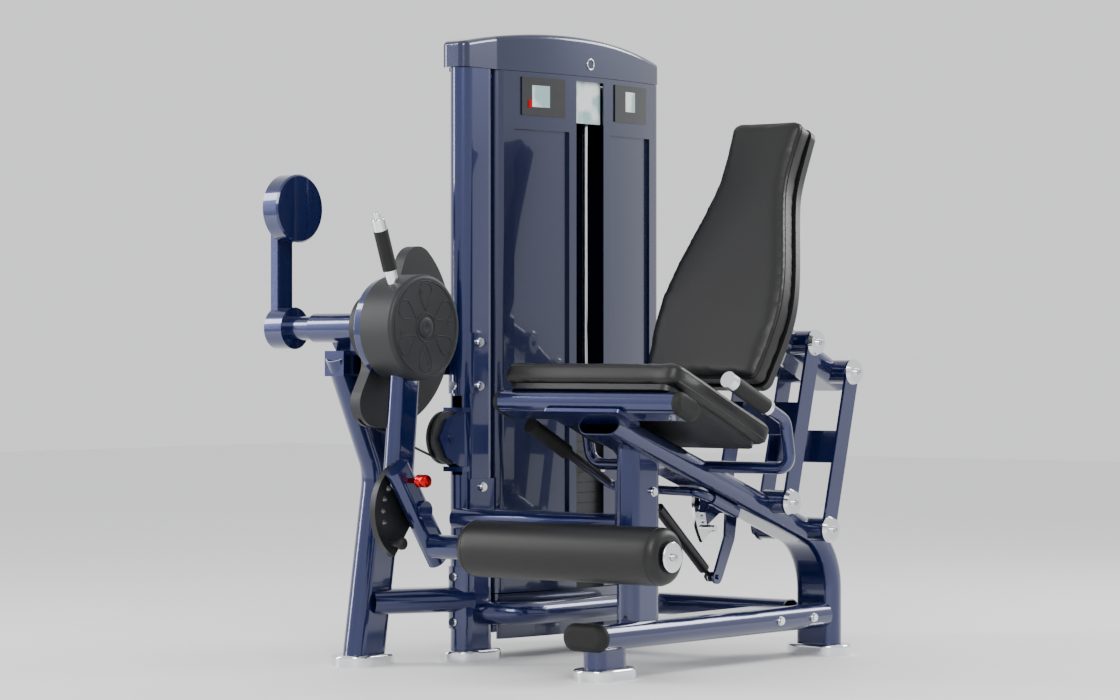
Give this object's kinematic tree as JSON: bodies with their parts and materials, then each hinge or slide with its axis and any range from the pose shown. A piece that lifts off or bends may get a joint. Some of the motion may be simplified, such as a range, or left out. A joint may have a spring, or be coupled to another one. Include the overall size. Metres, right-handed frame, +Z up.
{
  "type": "leg extension machine",
  "caption": "Seated leg extension machine: padded seat, swinging back rest, counterbalanced lever with a padded roller, and a covered weight stack driven by a cable over a cam.",
  "frame": {"origin": "under the middle of the machine's bounding box, at floor level", "axes": "+Z up, the user sits facing -Y, the weight tower stands at -X"},
  "size_m": [1.1959, 1.2197, 1.5281],
  "materials": {
    "paint": "glossy metallic navy",
    "chrome": "polished",
    "leather": "grained black upholstery",
    "board": "moulded backing",
    "rubber": "ribbed",
    "black": "satin black",
    "steel": "bright",
    "plastic": "fine texture",
    "iron": "painted black",
    "knob": "red anodised",
    "cover": "glossy navy",
    "placard": "black with a plain border",
    "cable": "black sheath on wire rope"
  },
  "bodies": {
    "frame": {"base_beam": "paint", "column": "paint", "main_rail": "paint", "foot_caps": "chrome", "rubber_caps": "rubber", "seat_cross_rail": "paint", "seat_board": "board", "seat_pad": "leather", "handle_tubes": "paint", "handle_grips": "rubber", "lever_leg": "paint", "upper_bracket": "paint", "side_beam": "paint", "tower_frame": "paint", "tie_beam": "paint", "mid_beam": "paint", "near_shroud": "cover", "far_shroud": "cover", "tower_cap": "plastic", "tower_skirt": "cover", "info_panels": "placard", "stack_guides": "chrome", "resting_plates": "iron", "pulley_brackets": "paint", "fixed_cable": "cable", "frame_bolts": "chrome", "rail_fittings": "paint", "lower_pivots": "chrome"},
    "cam_body": {"cam": "plastic", "index_disc": "black", "cam_shaft": "paint", "counterweight": "iron", "cam_cable": "cable"},
    "arm": {"hub_cover": "plastic", "lever_arm": "paint", "start_handle": "paint", "start_sector": "paint"},
    "button": {"start_button": "rubber"},
    "carrier": {"ankle_carrier": "paint"},
    "knob": {"pull_knob": "knob"},
    "roller": {"roller_pad": "leather"},
    "stack": {"lifted_plates": "iron", "stack_cable": "cable"},
    "selector": {"selector_pin": "steel"},
    "idler": {"idler_pulley": "plastic"},
    "top_front": {"front_top_pulley": "plastic"},
    "top_rear": {"rear_top_pulley": "plastic"},
    "front_link": {"front_links": "paint", "lock_arm": "paint", "lock_sector": "paint"},
    "rear_link": {"rear_links": "paint"},
    "back": {"back_carrier": "paint", "upper_pivots": "chrome", "back_board": "board", "back_pad": "leather"},
    "spring_cylinder": {"gas_cylinder": "black"},
    "spring_rod": {"gas_rod": "chrome"},
    "lever": {"release_lever": "paint"},
    "pin": {"lock_pin": "steel"}
  },
  "joints": [
    {"name": "knee", "type": "hinge", "parent": "frame", "child": "cam_body", "pos_m": [-0.267, -0.4525, 0.802], "axis": [-1, 0, 0], "range_deg": [0, 100]},
    {"name": "start_adjust", "type": "hinge", "parent": "cam_body", "child": "arm", "pos_m": [-0.186, -0.4525, 0.802], "axis": [-1, 0, 0], "range_deg": [-10, 50]},
    {"name": "start_press", "type": "slide", "parent": "arm", "child": "button", "axis": [0, -0.342, 0.9397], "range_m": [-0.008, 0], "stiffness_N_per_m": 800},
    {"name": "carrier_adjust", "type": "hinge", "parent": "arm", "child": "carrier", "pos_m": [-0.123, -0.49388, 0.38002], "axis": [1, 0, 0], "range_deg": [0, 72]},
    {"name": "knob_pull", "type": "slide", "parent": "carrier", "child": "knob", "axis": [1, 0, 0], "range_m": [-0.012, 0]},
    {"name": "roller_turn", "type": "hinge", "parent": "carrier", "child": "roller", "pos_m": [0.289, -0.4545, 0.296], "axis": [1, 0, 0], "continuous": true},
    {"name": "stack_lift", "type": "slide", "parent": "frame", "child": "stack", "axis": [0, 0, 1], "range_m": [0, 0.4], "deforming": ["stack_cable"]},
    {"name": "selector_slide", "type": "slide", "parent": "stack", "child": "selector", "axis": [1, 0, 0], "range_m": [0, 0.06]},
    {"name": "idler_turn", "type": "hinge", "parent": "frame", "child": "idler", "pos_m": [-0.267, -0.2175, 0.54], "axis": [-1, 0, 0], "range_deg": [0, 400]},
    {"name": "top_front_turn", "type": "hinge", "parent": "frame", "child": "top_front", "pos_m": [-0.267, -0.1205, 1.385], "axis": [1, 0, 0], "range_deg": [0, 595]},
    {"name": "top_rear_turn", "type": "hinge", "parent": "frame", "child": "top_rear", "pos_m": [-0.267, 0.2285, 1.385], "axis": [1, 0, 0], "range_deg": [0, 595]},
    {"name": "front_swing", "type": "hinge", "parent": "frame", "child": "front_link", "pos_m": [0.289, 0.2765, 0.386], "axis": [1, 0, 0], "range_deg": [-15, 15]},
    {"name": "rear_swing", "type": "hinge", "parent": "frame", "child": "rear_link", "pos_m": [0.289, 0.4415, 0.3145], "axis": [1, 0, 0], "range_deg": [-15.5, 15.5]},
    {"name": "back_level", "type": "hinge", "parent": "front_link", "child": "back", "pos_m": [0.289, 0.3795, 0.768], "axis": [1, 0, 0], "range_deg": [-15.5, 15.5]},
    {"name": "spring_swing", "type": "hinge", "parent": "front_link", "child": "spring_cylinder", "pos_m": [0.197, 0.2155, 0.204], "axis": [1, 0, 0], "range_deg": [-14.1, 14.1]},
    {"name": "spring_stroke", "type": "slide", "parent": "spring_cylinder", "child": "spring_rod", "axis": [0, -0.7678, 0.6407], "range_m": [-0.0476, 0.0476]},
    {"name": "lever_turn", "type": "hinge", "parent": "frame", "child": "lever", "pos_m": [0.319, 0.0505, 0.40148], "axis": [0, 0.9426, -0.3338], "range_deg": [-4.5, 0]},
    {"name": "pin_slide", "type": "slide", "parent": "frame", "child": "pin", "axis": [1, 0, 0], "range_m": [-0.0125, 0]}
  ],
  "couplings": [
    {"joint": "stack_lift", "follows": "knee", "m_per_rad": 0.229},
    {"joint": "idler_turn", "follows": "knee", "ratio": 3.9483},
    {"joint": "top_front_turn", "follows": "knee", "ratio": 5.8718},
    {"joint": "top_rear_turn", "follows": "knee", "ratio": 5.8718},
    {"joint": "rear_swing", "follows": "front_swing", "ratio": 1},
    {"joint": "back_level", "follows": "front_swing", "ratio": -1},
    {"joint": "spring_swing", "follows": "front_swing", "ratio": -0.87383},
    {"joint": "spring_stroke", "follows": "front_swing", "m_per_rad": 0.17797},
    {"joint": "pin_slide", "follows": "lever_turn", "m_per_rad": 0.1525}
  ]
}
